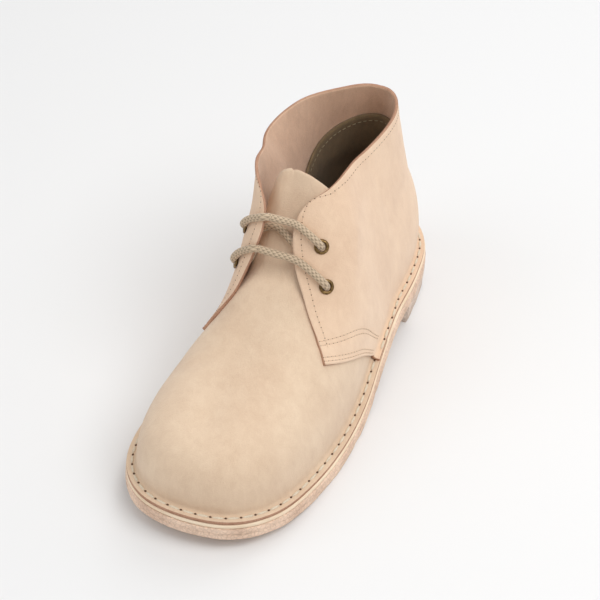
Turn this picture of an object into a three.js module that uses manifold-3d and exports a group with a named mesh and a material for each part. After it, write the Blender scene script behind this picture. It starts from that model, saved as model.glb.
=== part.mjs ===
// Left chukka boot: one hollow suede upper stitched down to a midsole, a rubber
// outsole with a heel block, a tongue, an insole, four eyelets and two lace bars.
// Millimetres. +Z is up, the toe points to -Y, the outer side of the foot is +X.
// The origin is on the floor under the middle of the boot.

import * as THREE from 'three';
import { mergeVertices } from 'three/addons/utils/BufferGeometryUtils.js';
import Module from 'manifold-3d';

// Driving dimensions of the last, the form that the upper is pulled over
const lastLength = 272;
const ballWidth = 94;
const heelWidth = 63.5;
const toeHeight = 38; // last's height over its bottom where the ridge starts
const shaftHeight = 126; // last's height over the heel seat
const shaftOuter = 20; // half the leg opening's width on the outer side
const shaftInner = 27; // and on the inner side
const flapSpread = 13; // how far the inner flap stands open at the throat
const heelBulge = 4;
const toeSpring = 7;

// Driving dimensions of the shoe
const vampWall = 1.8;
const quarterWall = 1.9;
const tongueWall = 1.5;
const flangeWidth = 7.5; // how far the upper turns out over the sole
const flangeRadius = 2;
const quarterSetBack = 0.2; // a quarter's turned-out edge ends this much inside the vamp's
const midsoleMargin = 0.4; // past the vamp's turned-out edge
const midsoleThickness = 3;
const outsoleThickness = 8.5;
const outsoleMargin = 0.6; // past the midsole's edge
const soleEdgeRadius = 1.3;
const grooveDepth = 0.5; // of the line round the outsole's side
const grooveHalf = 0.5; // half its height
const grooveShare = 0.42; // how far down the outsole's side it lies
const topSetBack = 0.3; // the outsole's top edge, and the side over its groove, step in
const sideSetBack = 0.1;
const heelHeight = 13.6;
const heelTaper = 1.2; // the heel block's foot is this much smaller
const insoleThickness = 3;
const eyeletOuterRadius = 4.3;
const eyeletHoleRadius = 2.5;
const eyeletBarrelWall = 0.5;
const eyeletRim = 0.9;
const eyeletInset = 0.15; // the barrel ends this much outside the quarter's inner face
const laceDiameter = 4.4;
const laceLift = 0.8; // between a lace bar and what it crosses
const clearance = 0.3; // between pieces that meet
const tongueDrop = 0.8; // the tongue lies this much inside the vamp's inner face

const heelBreast = 0.7537; // share of the length
const archStart = 0.35;
const archEnd = 0.735;
const springStart = 0.257;
const ballEnd = 0.45; // the local width falls from the ball's to the heel's between these
const heelStart = 0.65;

// Sections of the last's bottom: share of its length from the toe, and how far
// the outer and inner edges stand from the middle as shares of the local width
const bottomRows = [
  { along: 0.0, outer: -0.096, inner: -0.096 },
  { along: 0.018, outer: 0.154, inner: -0.33 },
  { along: 0.081, outer: 0.324, inner: -0.5 },
  { along: 0.176, outer: 0.41, inner: -0.564 },
  { along: 0.294, outer: 0.457, inner: -0.537 },
  { along: 0.423, outer: 0.452, inner: -0.441 },
  { along: 0.551, outer: 0.491, inner: -0.421 },
  { along: 0.68, outer: 0.559, inner: -0.457 },
  { along: 0.801, outer: 0.543, inner: -0.457 },
  { along: 0.908, outer: 0.465, inner: -0.425 },
  { along: 0.974, outer: 0.26, inner: -0.244 },
  { along: 1.0, outer: 0.0, inner: 0.0 },
];

// The ridge from the toe box up the instep: share of the length, sideways share
// of the ball width, rise past the toe height as a share of the shaft height,
// and how full the section below that point is (2 is an ellipse, 1 is straight)
const ridgeRows = [
  { along: 0.11, side: -0.085, rise: 0.0, full: 2.55 },
  { along: 0.129, side: -0.096, rise: 0.016, full: 2.55 },
  { along: 0.176, side: -0.106, rise: 0.05, full: 2.55 },
  { along: 0.243, side: -0.117, rise: 0.087, full: 2.5 },
  { along: 0.338, side: -0.117, rise: 0.15, full: 2.4 },
  { along: 0.441, side: -0.117, rise: 0.3, full: 2.15 },
  { along: 0.61, side: -0.138, rise: 0.725, full: 1.8 },
];
const shaftFull = 1.35;
const shaftBack = 0.945; // where the back of the leg stands, share of the length
const crownRounding = 0.016; // step of the average that rounds the crown's corner
const crownRounded = 0.5; // place from which the whole step is taken
const ringEase = 1.2; // the sections crowd this much towards the front of the leg ring
const ringLean = 0.2; // share of the ridge's sideways lean that is left at its back

// The back's swell: from this place round the last, out over the heel bone up to
// one share of the height, and in again by a part of it above another
const swell = { from: 0.55, outTo: 0.42, inFrom: 0.35, inPart: 0.5 };

// Edge of a quarter, from its low front corner up the throat and back along the
// topline: where the row starts at the welt and ends at the edge, both as places
// round the last, and how far up the last that end is
const quarterRows = [
  { foot: 0.541, along: 0.395, up: 0.479 },
  { foot: 0.556, along: 0.427, up: 0.671 },
  { foot: 0.57, along: 0.45, up: 0.771 },
  { foot: 0.586, along: 0.468, up: 0.85 },
  { foot: 0.605, along: 0.488, up: 0.9 },
  { foot: 0.622, along: 0.507, up: 0.875 },
  { foot: 0.641, along: 0.53, up: 0.735 },
  { foot: 0.665, along: 0.563, up: 0.675 },
  { foot: 0.7, along: 0.62, up: 0.672 },
  { foot: 0.75, along: 0.7, up: 0.69 },
  { foot: 0.82, along: 0.79, up: 0.69 },
  { foot: 0.91, along: 0.9, up: 0.67 },
  { foot: 1.0, along: 1.0, up: 0.66 },
];

const throatStart = 0.435; // place on the ridge where the vamp ends and the tongue starts
const throatTop = 6 / 11; // place on the ridge where the leg ring starts
const underlapFoot = 0.58; // where the vamp's hidden back edge reaches the welt
const lapFoot = 0.6; // where a quarter has cleared that edge
const underlapSlope = 0.305; // how fast that edge runs forward as it rises
const tongueSide = 0.61; // how far up the last the tongue's side edges lie
const tongueTip = 0.527; // place on the ridge where the tongue ends
const tongueRise = 0.14; // how fast its top edge runs on past that place beside the ridge
const tongueCorner = 0.33; // how far below the ridge its corners start
const tongueRound = 0.6; // how fast they fall back
const hiddenStep = 0.006; // between the throat and what starts beside it
const lapPast = 0.01; // a quarter keeps its full stand this far past the lap
const upSpan = 92; // length of one unit up the last beside the throat
const lapFade = 0.07; // the stretch over which it then sinks back to the last
const lapAtTop = 0.02; // the lap's end behind the throat, high on the leg
const lapTurn = { from: 0.35, to: 0.55 }; // heights between which it turns from the underlap's slope to that
const overlapFade = 0.05; // rise over which a quarter lifts off the underlap's edge

// How the inner flap stands open: round the last it opens and closes between
// these places, and up the last it leans out from low to its own edge, which lies
// at throatUp beside the throat and at toplineUp from turnTo on
const flap = {
  openFrom: 0.42, openTo: 0.5, closeFrom: 0.68, closeTo: 0.92,
  low: 0.35, throatUp: 0.9, toplineUp: 0.69, turnFrom: 0.5, turnTo: 0.56, lean: 1.7, past: 1.2,
};

const eyeletRows = [
  { name: 'lower', along: 0.473, up: 0.621, throat: 0.86 },
  { name: 'upper', along: 0.495, up: 0.7, throat: 0.9 },
];

// How finely the faces are cut
const vampColumns = 22; // each side of the toe
const underlapColumns = 6;
const columnCrowding = 0.85; // the vamp's columns crowd towards the throat by this power
const vampRows = 8;
const quarterCuts = 3; // between two rows of the quarter's table
const quarterRings = 9;
const soleStations = 36;
const heelStations = 12;
const stationCrowding = 0.55; // how much the stations crowd towards the ends
const soleAcross = 3;
const tongueAcross = 12;
const tongueAlong = 9;
const roundSides = 14;
const laceSides = 8;
const laceSteps = 16;
const ringCrowding = 1.3; // the upper's rings crowd towards its edge by this power
const bendMiddle = 1 - Math.SQRT1_2; // middle point of a quarter circle, from its corner
const wallStart = 0.035; // how far up the last the wall proper starts
const underlapLeast = 0.02; // least height of the underlap's wall

const featherHeight = outsoleThickness + midsoleThickness + 2 * clearance;
const heelLift = heelHeight + clearance;
const rowCount = bottomRows.length - 1;

const clamp01 = (x) => Math.min(Math.max(x, 0), 1);
const smooth = (x) => clamp01(x) ** 2 * (3 - 2 * clamp01(x));
const ramp = (x, from, to) => smooth((x - from) / (to - from));
const mix = (a, b, share) => a + (b - a) * share;

function spline(p0, p1, p2, p3, u) {
  return 0.5 * (2 * p1 + (p2 - p0) * u + (2 * p0 - 5 * p1 + 4 * p2 - p3) * u * u
    + (3 * p1 - p0 - 3 * p2 + p3) * u ** 3);
}

// Smooth value of one column of a table at a fractional row
function column(rows, key, place) {
  const last = rows.length - 1;
  const q = Math.min(Math.max(place, 0), last);
  const i = Math.min(Math.floor(q), last - 1);
  const at = (k) => {
    if (k < 0) return 2 * rows[0][key] - rows[1][key];
    if (k > last) return 2 * rows[last][key] - rows[last - 1][key];
    return rows[k][key];
  };
  return spline(at(i - 1), at(i), at(i + 1), at(i + 2), q - i);
}

// A place round the last runs from 0 at the toe to 1 at the back on the outer
// side, and from 0 to -1 on the inner side
const wrap = (place) => ((((place + 1) % 2) + 2) % 2) - 1;

const localWidth = (along) => mix(ballWidth, heelWidth, ramp(along, ballEnd, heelStart));

// Loop of the bottom's edge points, outer side first, then back up the inner side
const bottomLoop = [
  ...bottomRows.map((row) => [row.outer * localWidth(row.along), row.along * lastLength]),
  ...bottomRows.slice(1, -1).reverse()
    .map((row) => [row.inner * localWidth(row.along), row.along * lastLength]),
];

// Point of the last's bottom edge (sideways, along) at a place round it
function bottomEdge(place) {
  const n = bottomLoop.length;
  const q = (((place * rowCount) % n) + n) % n;
  const i = Math.floor(q);
  const at = (k, axis) => bottomLoop[(i + k + n) % n][axis];
  return [0, 1].map((axis) => spline(at(-1, axis), at(0, axis), at(1, axis), at(2, axis), q - i));
}

// Outward direction, seen from above, at a place round the bottom edge
function outward(place) {
  const step = 1e-3;
  const a = bottomEdge(place - step);
  const b = bottomEdge(place + step);
  const length = Math.hypot(b[0] - a[0], b[1] - a[1]);
  return [(b[1] - a[1]) / length, (a[0] - b[0]) / length];
}

// Height of the last's bottom at a distance from the toe
function seatHeight(distance) {
  const along = distance / lastLength;
  return featherHeight + heelLift * ramp(along, archStart, archEnd)
    + toeSpring * Math.max((springStart - along) / springStart, 0) ** 2;
}

// Point on the ridge, or on the ring above the leg opening, at a place
function crownPath(place) {
  const round = Math.abs(wrap(place));
  const row = Math.min(round, throatTop) * rowCount;
  const along = column(ridgeRows, 'along', row) * lastLength;
  const side = column(ridgeRows, 'side', row) * ballWidth;
  const height = seatHeight(along) + toeHeight + column(ridgeRows, 'rise', row) * shaftHeight;
  if (round <= throatTop) return [side, along, height];
  const turn = clamp01((round - throatTop) / (1 - throatTop));
  const angle = Math.PI * turn ** ringEase;
  const back = shaftBack * lastLength;
  const backHeight = seatHeight(back) + shaftHeight;
  const lean = mix(ringLean, 1, (1 + Math.cos(angle)) / 2);
  return [
    (wrap(place) > 0 ? shaftOuter : -shaftInner) * Math.sin(angle) + side * lean,
    mix(along, back, (1 - Math.cos(angle)) / 2),
    mix(height, backHeight, turn),
  ];
}

// Point where the section at a place ends: the path with its corner at the
// throat's top rounded off
function crown(place) {
  const step = crownRounding * ramp(Math.abs(wrap(place)), throatStart, crownRounded);
  const sum = [0, 0, 0];
  for (let k = -2; k <= 2; k += 1) {
    const weight = (3 - Math.abs(k)) / 9;
    crownPath(place + k * step).forEach((value, axis) => { sum[axis] += weight * value; });
  }
  return sum;
}

// Point of the last's surface: up is 0 at the bottom edge and 1 at the crown
function lastPoint(place, up) {
  const round = Math.abs(wrap(place));
  const edge = bottomEdge(place);
  const top = crown(place);
  const base = seatHeight(edge[1]);
  const ridgeFull = column(ridgeRows, 'full', Math.min(round, throatTop) * rowCount);
  const full = mix(ridgeFull, shaftFull, clamp01(3 * (round - throatTop) / (1 - throatTop)));
  const angle = clamp01(up) * Math.PI / 2;
  const out = clamp01(Math.cos(angle)) ** (2 / full);
  const rise = clamp01(Math.sin(angle)) ** (2 / full);
  const over = Math.sin(Math.PI * clamp01(rise / swell.outTo));
  const above = Math.sin(Math.PI * clamp01((rise - swell.inFrom) / (1 - swell.inFrom)));
  const bulge = heelBulge * clamp01((round - swell.from) / (1 - swell.from)) * (over - swell.inPart * above);
  const away = outward(place);
  return new THREE.Vector3(
    mix(top[0], edge[0], out) + away[0] * bulge,
    mix(top[1], edge[1], out) + away[1] * bulge,
    mix(base, top[2], rise),
  );
}

function sideNormal(place, up) {
  const step = 2e-3;
  const level = Math.min(Math.max(up, 0.01), 0.985);
  const along = lastPoint(place + step, level).sub(lastPoint(place - step, level));
  const rising = lastPoint(place, level + step).sub(lastPoint(place, level - step));
  return along.cross(rising).normalize();
}

// Outward normal of the last; on the ridge both sides share one
function lastNormal(place, up) {
  const normal = sideNormal(place, up);
  if (up > 0.985 && Math.abs(wrap(place)) <= throatTop) {
    normal.add(sideNormal(-place, up)).normalize();
  }
  return normal;
}

const offLast = (place, up, distance) => (
  lastPoint(place, up).addScaledVector(lastNormal(place, up), distance)
);

// Point beside the last's bottom edge: out sideways, and lift over its bottom
function besideEdge(place, out, lift) {
  const edge = bottomEdge(place);
  const away = outward(place);
  const along = edge[1] + away[1] * out;
  return new THREE.Vector3(edge[0] + away[0] * out, along, seatHeight(along) + lift);
}

// Closed mesh from faces given as corner points; equal corners become one
// vertex, and the faces are turned to point outwards
function closedMesh(faces) {
  const corners = [];
  for (const face of faces) {
    for (let i = 1; i + 1 < face.length; i += 1) corners.push(face[0], face[i], face[i + 1]);
  }
  const soup = new THREE.BufferGeometry().setFromPoints(corners);
  const merged = mergeVertices(soup, 1e-4);
  const index = merged.getIndex().array;
  const kept = [];
  for (let i = 0; i < index.length; i += 3) {
    const [a, b, c] = [index[i], index[i + 1], index[i + 2]];
    if (a !== b && b !== c && c !== a) kept.push(a, b, c);
  }
  merged.setIndex(kept);
  return volumeOf(merged) < 0 ? turnedOver(merged) : merged;
}

function volumeOf(geometry) {
  const place = geometry.getAttribute('position');
  const index = geometry.getIndex().array;
  const corner = [0, 1, 2].map(() => new THREE.Vector3());
  let sum = 0;
  for (let i = 0; i < index.length; i += 3) {
    corner.forEach((point, k) => point.fromBufferAttribute(place, index[i + k]));
    sum += corner[0].dot(corner[1].cross(corner[2]));
  }
  return sum / 6;
}

function turnedOver(geometry) {
  const index = Array.from(geometry.getIndex().array);
  for (let i = 0; i < index.length; i += 3) [index[i], index[i + 1]] = [index[i + 1], index[i]];
  geometry.setIndex(index);
  return geometry;
}

// Solid between two grids of points, walled along its open edges. A closed edge
// is one where the sheet meets itself, so it gets no wall.
function sheetSolid(outerGrid, innerGrid, closedEdge = () => false) {
  const faces = [];
  const columns = outerGrid.length - 1;
  const rows = outerGrid[0].length - 1;
  for (let i = 0; i < columns; i += 1) {
    for (let j = 0; j < rows; j += 1) {
      faces.push([outerGrid[i][j], outerGrid[i + 1][j], outerGrid[i + 1][j + 1]]);
      faces.push([outerGrid[i][j], outerGrid[i + 1][j + 1], outerGrid[i][j + 1]]);
      faces.push([innerGrid[i][j], innerGrid[i + 1][j + 1], innerGrid[i + 1][j]]);
      faces.push([innerGrid[i][j], innerGrid[i][j + 1], innerGrid[i + 1][j + 1]]);
    }
  }
  const wall = (i0, j0, i1, j1) => {
    faces.push([outerGrid[i0][j0], innerGrid[i1][j1], innerGrid[i0][j0]]);
    faces.push([outerGrid[i0][j0], outerGrid[i1][j1], innerGrid[i1][j1]]);
  };
  for (let i = 0; i < columns; i += 1) {
    wall(i + 1, 0, i, 0);
    if (!closedEdge(i)) wall(i, rows, i + 1, rows);
  }
  for (let j = 0; j < rows; j += 1) {
    wall(0, j, 0, j + 1);
    wall(columns, j + 1, columns, j);
  }
  return closedMesh(faces);
}

const wasm = await Module();
wasm.setup();

function toManifold(geometry) {
  return new wasm.Manifold(new wasm.Mesh({
    numProp: 3,
    vertProperties: Float32Array.from(geometry.getAttribute('position').array),
    triVerts: Uint32Array.from(geometry.getIndex().array),
  }));
}

function fromManifold(solid) {
  const mesh = solid.getMesh();
  const geometry = new THREE.BufferGeometry();
  geometry.setAttribute('position', new THREE.BufferAttribute(Float32Array.from(mesh.vertProperties), 3));
  geometry.setIndex(Array.from(mesh.triVerts));
  return geometry;
}

// Points up one column of the upper: the turned-out flange, the bend, the wall.
// Inside and outside are the faces' distances from the last at the bottom.
function wallColumn(flange, inside, outside, foot, placeAt, upAt, rings) {
  const foldAt = (face) => [
    besideEdge(foot, flange, face),
    besideEdge(foot, face + flangeRadius, face),
    besideEdge(foot, face + bendMiddle * flangeRadius, face + bendMiddle * flangeRadius),
  ];
  const outer = foldAt(outside(foot, 0));
  const inner = foldAt(inside(foot, 0));
  for (let ring = 0; ring <= rings; ring += 1) {
    const share = 1 - (1 - ring / rings) ** ringCrowding;
    const place = placeAt(share);
    const up = upAt(share);
    outer.push(offLast(place, up, outside(place, up)));
    inner.push(offLast(place, up, inside(place, up)));
  }
  return { outer, inner };
}

// How far up the vamp reaches at a place: over the ridge as far as the throat,
// then only as far as its underlap below the quarters
function vampTop(place) {
  const round = Math.abs(place);
  if (round <= throatStart) return 1;
  return Math.max((underlapFoot - round) / underlapSlope, wallStart + underlapLeast);
}

function vampSolid() {
  const end = underlapFoot - (wallStart + underlapLeast) * underlapSlope;
  const places = [];
  for (let i = 0; i <= vampColumns; i += 1) places.push(throatStart * (i / vampColumns) ** columnCrowding);
  for (let i = 0; i <= underlapColumns; i += 1) {
    places.push(mix(throatStart + hiddenStep / 3, end, i / underlapColumns));
  }
  const all = [...places.slice(1).reverse().map((place) => -place), ...places];
  const columns = all.map((place) => wallColumn(
    flangeWidth, () => 0, () => vampWall, place,
    () => place, (share) => mix(wallStart, vampTop(place), share), vampRows,
  ));
  const closed = (i) => Math.max(Math.abs(all[i]), Math.abs(all[i + 1])) <= throatStart;
  return sheetSolid(columns.map((c) => c.outer), columns.map((c) => c.inner), closed);
}

// Share of the vamp's thickness by which a quarter stands off the last: whole
// where it laps the vamp or the tongue, none towards the back
function lapShare(place, up) {
  const turned = ramp(up, lapTurn.from, lapTurn.to);
  const edge = mix(lapFoot - underlapSlope * up, throatTop + lapAtTop, turned) + lapPast;
  return 1 - ramp(Math.abs(wrap(place)), edge, edge + lapFade);
}

// Inside the lap a quarter is sunk half way into the vamp, so the two are one
// body; over the tongue it stands clear
function quarterInside(place, up) {
  const round = Math.abs(wrap(place));
  const pastVamp = ramp(round, throatStart - hiddenStep, throatStart + hiddenStep);
  const overTongue = smooth((up - (lapFoot - round) / underlapSlope) / overlapFade) * pastVamp;
  return vampWall * lapShare(place, up) * mix(0.5, 1, overTongue) + spread(place, up);
}

// How far the inner flap stands open: most at its top front corner
function spread(place, up) {
  if (wrap(place) > 0) return 0;
  const round = Math.abs(wrap(place));
  const opened = ramp(round, flap.openFrom, flap.openTo) * (1 - ramp(round, flap.closeFrom, flap.closeTo));
  const edgeUp = mix(flap.throatUp, flap.toplineUp, ramp(round, flap.turnFrom, flap.turnTo));
  const share = Math.min(Math.max((up - flap.low) / (edgeUp - flap.low), 0), flap.past);
  return flapSpread * opened * share ** flap.lean;
}

const quarterStand = (place, up) => vampWall * lapShare(place, up) + spread(place, up);
const quarterOutside = (place, up) => quarterStand(place, up) + quarterWall;
const onQuarter = (place, up, distance) => offLast(place, up, quarterStand(place, up) + distance);

function quarterNormal(place, up) {
  const step = 5e-3;
  const along = onQuarter(place + step, up, 0).sub(onQuarter(place - step, up, 0));
  const rising = onQuarter(place, up + step, 0).sub(onQuarter(place, up - step, 0));
  return along.cross(rising).normalize();
}

function quarterSolid() {
  const steps = (quarterRows.length - 1) * quarterCuts;
  const half = [];
  for (let i = 0; i <= steps; i += 1) {
    const row = i / quarterCuts;
    half.push({
      foot: column(quarterRows, 'foot', row),
      along: column(quarterRows, 'along', row),
      up: column(quarterRows, 'up', row),
    });
  }
  const rest = half.slice(0, -1).reverse()
    .map((row) => ({ foot: 2 - row.foot, along: 2 - row.along, up: row.up }));
  const columns = [...half, ...rest].map((row) => wallColumn(
    flangeWidth - quarterSetBack, quarterInside, quarterOutside, row.foot,
    (share) => mix(row.foot, row.along, mix(wallStart, row.up, share) / row.up),
    (share) => mix(wallStart, row.up, share), quarterRings,
  ));
  return sheetSolid(columns.map((c) => c.outer), columns.map((c) => c.inner));
}

// Turns and moves a shape made along +Z so that it stands on a quarter's inner face
function standOnQuarter(geometry, place, up) {
  const normal = quarterNormal(place, up);
  const turn = new THREE.Quaternion().setFromUnitVectors(new THREE.Vector3(0, 0, 1), normal);
  const at = onQuarter(place, up, 0);
  return geometry.applyMatrix4(new THREE.Matrix4().compose(at, turn, new THREE.Vector3(1, 1, 1)));
}

function positionsOnly(geometry) {
  geometry.deleteAttribute('normal');
  geometry.deleteAttribute('uv');
  return mergeVertices(geometry, 1e-4);
}

const eyeletPlaces = [];
for (const [side, sign] of [['outer', 1], ['inner', -1]]) {
  for (const row of eyeletRows) {
    const name = `eyelet_${side}_${row.name}`;
    eyeletPlaces.push({ name, place: sign * row.along, up: row.up });
  }
}

function upperSolid() {
  let solid = toManifold(vampSolid()).add(toManifold(quarterSolid()));
  const holeRadius = eyeletHoleRadius + eyeletBarrelWall + clearance;
  for (const eyelet of eyeletPlaces) {
    const punch = new THREE.CylinderGeometry(holeRadius, holeRadius, 6 * quarterWall, roundSides);
    punch.rotateX(Math.PI / 2);
    punch.translate(0, 0, quarterWall / 2);
    standOnQuarter(punch, eyelet.place, eyelet.up);
    solid = solid.subtract(toManifold(positionsOnly(punch)));
  }
  return fromManifold(solid);
}

// Brass eyelet: a domed rim on the quarter's face and a barrel through its wall
function eyeletGeometry(eyelet) {
  const barrel = eyeletHoleRadius + eyeletBarrelWall;
  const seat = quarterWall + clearance;
  const profile = [
    [eyeletHoleRadius, eyeletInset],
    [barrel, eyeletInset],
    [barrel, seat],
    [eyeletOuterRadius, seat],
    [eyeletOuterRadius, seat + 0.4 * eyeletRim],
    [mix(barrel, eyeletOuterRadius, 0.45), seat + eyeletRim],
    [eyeletHoleRadius, seat + 0.6 * eyeletRim],
    [eyeletHoleRadius, eyeletInset],
  ].map(([radius, height]) => new THREE.Vector2(radius, height));
  const ring = new THREE.LatheGeometry(profile, roundSides);
  ring.rotateX(Math.PI / 2);
  const solid = positionsOnly(ring);
  const turned = volumeOf(solid) < 0 ? turnedOver(solid) : solid;
  return standOnQuarter(turned, eyelet.place, eyelet.up);
}

// Tongue: a curved sheet over the instep, rounded at its top
function tongueGeometry() {
  const start = throatStart + hiddenStep;
  const grids = [tongueWall - tongueDrop, -tongueDrop].map((distance) => {
    const grid = [];
    for (let i = 0; i <= tongueAcross; i += 1) {
      const across = (2 * i) / tongueAcross - 1;
      const sign = across < 0 ? -1 : 1;
      const below = (1 - tongueSide) * Math.abs(across);
      const corner = Math.max(below - tongueCorner, 0);
      const tip = tongueTip + tongueRise * below ** 2 - tongueRound * corner ** 1.5;
      const points = [];
      for (let j = 0; j <= tongueAlong; j += 1) {
        points.push(offLast(sign * mix(start, tip, j / tongueAlong), 1 - below, distance));
      }
      grid.push(points);
    }
    return grid;
  });
  return sheetSolid(grids[0], grids[1]);
}

// Sole layer: rings of points from the bottom up, each a distance outside the
// last's edge and a height; the first and last are capped. A layer that starts
// behind the toe has a straight front.
function soleLayer(rings, stations, from = 0) {
  const places = [];
  for (let i = 0; i <= stations; i += 1) {
    const share = i / stations;
    const crowded = from > 0 ? 1 - (1 - share) ** 1.4 : 0.5 - 0.5 * Math.cos(Math.PI * share);
    places.push(mix(from, 1, mix(share, crowded, stationCrowding)));
  }
  const point = (ring, place) => {
    const at = besideEdge(place, ring.out, 0);
    return new THREE.Vector3(at.x, at.y, ring.height(at.y));
  };
  const row = (ring, place) => {
    const a = point(ring, place);
    const b = point(ring, -place);
    return Array.from({ length: soleAcross + 1 }, (_, k) => {
      const at = a.clone().lerp(b, k / soleAcross);
      at.z = ring.height(at.y);
      return at;
    });
  };
  const faces = [];
  const grids = rings.map((ring) => places.map((place) => row(ring, place)));
  const quad = (a, b, c, d) => faces.push([a, b, c], [a, c, d]);
  const bottom = grids[0];
  const top = grids[grids.length - 1];
  for (let i = 0; i < stations; i += 1) {
    for (let k = 0; k < soleAcross; k += 1) {
      quad(bottom[i][k], bottom[i][k + 1], bottom[i + 1][k + 1], bottom[i + 1][k]);
      quad(top[i][k], top[i + 1][k], top[i + 1][k + 1], top[i][k + 1]);
    }
  }
  for (let g = 0; g + 1 < grids.length; g += 1) {
    const [low, high] = [grids[g], grids[g + 1]];
    for (let i = 0; i < stations; i += 1) {
      quad(low[i][0], low[i + 1][0], high[i + 1][0], high[i][0]);
      quad(low[i + 1][soleAcross], low[i][soleAcross], high[i][soleAcross], high[i + 1][soleAcross]);
    }
    if (from > 0) {
      for (let k = 0; k < soleAcross; k += 1) quad(low[0][k + 1], low[0][k], high[0][k], high[0][k + 1]);
    }
  }
  return closedMesh(faces);
}

const underSeat = (drop) => (distance) => seatHeight(distance) - drop;

function midsoleGeometry() {
  const bottom = clearance + midsoleThickness;
  return soleLayer([
    { out: flangeWidth + midsoleMargin, height: underSeat(bottom) },
    { out: flangeWidth + midsoleMargin, height: underSeat(clearance) },
  ], soleStations);
}

function outsoleGeometry() {
  const top = midsoleThickness + 2 * clearance;
  const bottom = top + outsoleThickness;
  const edge = flangeWidth + midsoleMargin + outsoleMargin;
  const groove = top + grooveShare * outsoleThickness;
  return soleLayer([
    { out: edge - soleEdgeRadius, height: underSeat(bottom) },
    { out: edge, height: underSeat(bottom - soleEdgeRadius) },
    { out: edge, height: underSeat(groove + grooveHalf) },
    { out: edge - grooveDepth, height: underSeat(groove) },
    { out: edge - sideSetBack, height: underSeat(groove - grooveHalf) },
    { out: edge - topSetBack, height: underSeat(top) },
  ], soleStations);
}

function heelGeometry() {
  const edge = flangeWidth + midsoleMargin + outsoleMargin;
  return soleLayer([
    { out: edge - heelTaper - soleEdgeRadius, height: () => 0 },
    { out: edge - heelTaper, height: () => soleEdgeRadius },
    { out: edge, height: () => heelHeight },
  ], heelStations, breastPlace());
}

// Place round the last whose distance from the toe is the heel's breast
function breastPlace() {
  let [low, high] = [0.4, 1];
  for (let i = 0; i < 40; i += 1) {
    const middle = (low + high) / 2;
    if (bottomEdge(middle)[1] < heelBreast * lastLength) low = middle;
    else high = middle;
  }
  return (low + high) / 2;
}

function insoleGeometry() {
  return soleLayer([
    { out: -2 * clearance, height: underSeat(0) },
    { out: -2 * clearance, height: underSeat(-insoleThickness) },
  ], soleStations);
}

// Lace bar: a round cord from over the outer eyelet, straight across the throat,
// round the top of the open inner flap, to over the inner eyelet
function laceSolid(row) {
  const off = quarterWall + laceLift + laceDiameter / 2;
  const overEyelet = off + eyeletRim + 2 * clearance;
  const roundEdge = row.throat + (2 * laceLift + laceDiameter / 2) / upSpan;
  const points = [
    onQuarter(row.along, row.up, overEyelet),
    onQuarter(row.along, mix(row.up, row.throat, 0.4), off + laceLift),
    onQuarter(row.along, row.throat, off),
    onQuarter(-row.along, roundEdge, quarterWall / 2),
    onQuarter(-row.along, mix(row.throat, roundEdge, 0.8), mix(quarterWall / 2, off, 0.85)),
    onQuarter(-row.along, mix(row.up, row.throat, 0.4), off + laceLift),
    onQuarter(-row.along, row.up, overEyelet),
  ];
  return cordGeometry(points);
}

function cordGeometry(points) {
  const route = new THREE.CatmullRomCurve3(points);
  const section = new THREE.Shape();
  section.absarc(0, 0, laceDiameter / 2, 0, 2 * Math.PI, false);
  const cord = new THREE.ExtrudeGeometry(section, {
    extrudePath: route, steps: laceSteps, curveSegments: laceSides / 2, bevelEnabled: false,
  });
  const solid = positionsOnly(cord);
  return volumeOf(solid) < 0 ? turnedOver(solid) : solid;
}

const finishes = {
  upper: { color: 0xe6caac, roughness: 0.95, metalness: 0 },
  tongue: { color: 0xceaa8f, roughness: 0.95, metalness: 0 },
  insole: { color: 0xb99a78, roughness: 0.8, metalness: 0 },
  midsole: { color: 0xf1dac0, roughness: 0.8, metalness: 0 },
  outsole: { color: 0xcdb19e, roughness: 0.85, metalness: 0 },
  heel: { color: 0xd1bfb2, roughness: 0.85, metalness: 0 },
  eyelet: { color: 0x8a6f45, roughness: 0.4, metalness: 1 },
  lace: { color: 0x9a7e68, roughness: 0.9, metalness: 0 },
};

function named(name, geometry, finish) {
  const solid = geometry.toNonIndexed();
  solid.computeVertexNormals();
  const mesh = new THREE.Mesh(solid, new THREE.MeshStandardMaterial(finishes[finish]));
  mesh.name = name;
  return mesh;
}

const boot = new THREE.Group();
boot.add(
  named('upper', upperSolid(), 'upper'),
  named('tongue', tongueGeometry(), 'tongue'),
  named('insole', insoleGeometry(), 'insole'),
  named('midsole', midsoleGeometry(), 'midsole'),
  named('outsole', outsoleGeometry(), 'outsole'),
  named('heel', heelGeometry(), 'heel'),
);
for (const eyelet of eyeletPlaces) boot.add(named(eyelet.name, eyeletGeometry(eyelet), 'eyelet'));
for (const row of eyeletRows) {
  boot.add(named(`lace_${row.name}`, laceSolid(row), 'lace'));
}

// The last's own frame starts at the toe's tip; the boot's starts under its middle
const bounds = new THREE.Box3().setFromObject(boot);
const middle = bounds.getCenter(new THREE.Vector3());
for (const mesh of boot.children) mesh.geometry.translate(-middle.x, -middle.y, 0);

export default boot;
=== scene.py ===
import math

import bmesh
import bpy
import numpy as np
from mathutils import Matrix, Vector
from mathutils.bvhtree import BVHTree


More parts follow.
